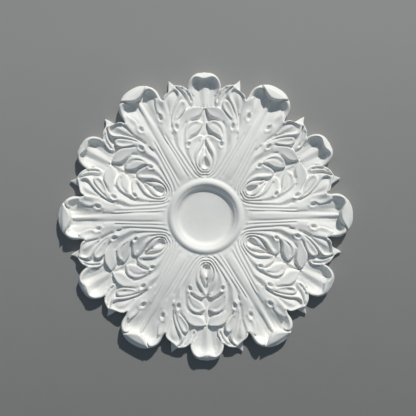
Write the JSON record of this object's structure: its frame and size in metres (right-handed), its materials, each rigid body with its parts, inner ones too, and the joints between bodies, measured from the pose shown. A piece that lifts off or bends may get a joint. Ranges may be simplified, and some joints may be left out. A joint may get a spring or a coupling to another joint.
{
  "type": "ceiling rose",
  "caption": "Round cast ceiling rose with long and short acanthus petals, curled tips and leaves around a plain ring and flat disc.",
  "frame": {"origin": "centre of the flat back, the face that goes against the ceiling", "axes": "+Z out of the ornamented face (down into the room once it is fixed), +X along the axis of one long petal, +Y along the axis of a short petal; the back is the plane z = 0"},
  "size_m": [0.6, 0.5878, 0.0307],
  "materials": {
    "plaster": "matt white cast plaster"
  },
  "bodies": {
    "root": {"ceiling_rose": "plaster"}
  },
  "joints": []
}
